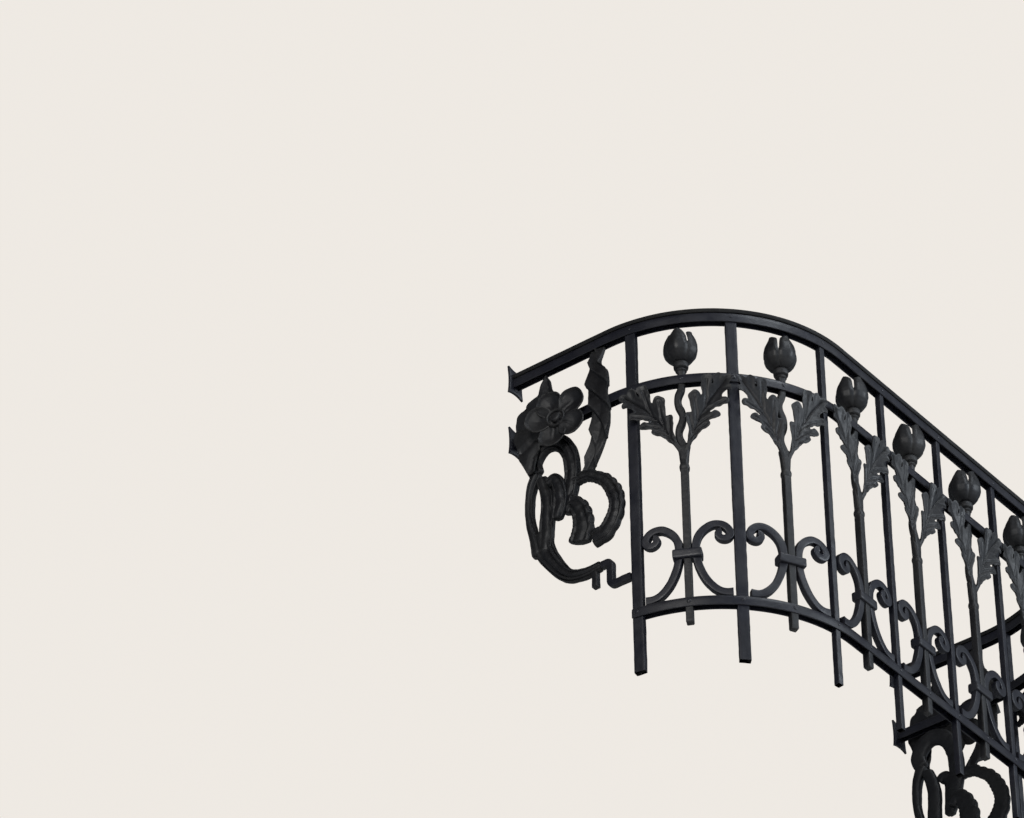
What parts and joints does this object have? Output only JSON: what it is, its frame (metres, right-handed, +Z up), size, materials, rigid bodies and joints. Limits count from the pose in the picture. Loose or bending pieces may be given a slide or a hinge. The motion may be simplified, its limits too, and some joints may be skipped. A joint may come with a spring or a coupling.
{
  "type": "iron balcony railing",
  "caption": "Wrought iron balcony railing with rounded corners, tulip bud stems, oak leaves, scrolls and a flower and vine panel at each wall end.",
  "frame": {"origin": "centre of the flat foot of the middle front post, where it stands on the balcony edge", "axes": "+X along the front of the balcony to the right seen from the street, +Y in towards the wall, +Z up"},
  "size_m": [1.6842, 0.6906, 0.991],
  "materials": {
    "black_paint": "satin black paint over hammered iron, dusty on edges and ledges"
  },
  "bodies": {
    "root": {"bottom_rail": "black_paint", "bud_stem_1": "black_paint", "bud_stem_2": "black_paint", "bud_stem_3": "black_paint", "bud_stem_4": "black_paint", "bud_stem_5": "black_paint", "bud_stem_6": "black_paint", "bud_stem_7": "black_paint", "bud_stem_8": "black_paint", "collars": "black_paint", "front_scrolls": "black_paint", "handrail_cap": "black_paint", "leaf_pair_1": "black_paint", "leaf_pair_2": "black_paint", "leaf_pair_3": "black_paint", "leaf_pair_4": "black_paint", "leaf_pair_5": "black_paint", "leaf_pair_6": "black_paint", "leaf_pair_7": "black_paint", "leaf_pair_8": "black_paint", "left_corner_scrolls": "black_paint", "left_flower": "black_paint", "left_foot_bracket": "black_paint", "left_ribbon_leaf": "black_paint", "left_vine": "black_paint", "left_wall_flanges": "black_paint", "mid_rail": "black_paint", "post_1": "black_paint", "post_2": "black_paint", "post_3": "black_paint", "post_4": "black_paint", "post_5": "black_paint", "post_6": "black_paint", "post_7": "black_paint", "post_8": "black_paint", "post_9": "black_paint", "right_corner_scrolls": "black_paint", "right_flower": "black_paint", "right_foot_bracket": "black_paint", "right_ribbon_leaf": "black_paint", "right_vine": "black_paint", "right_wall_flanges": "black_paint", "top_rail": "black_paint"}
  },
  "joints": []
}
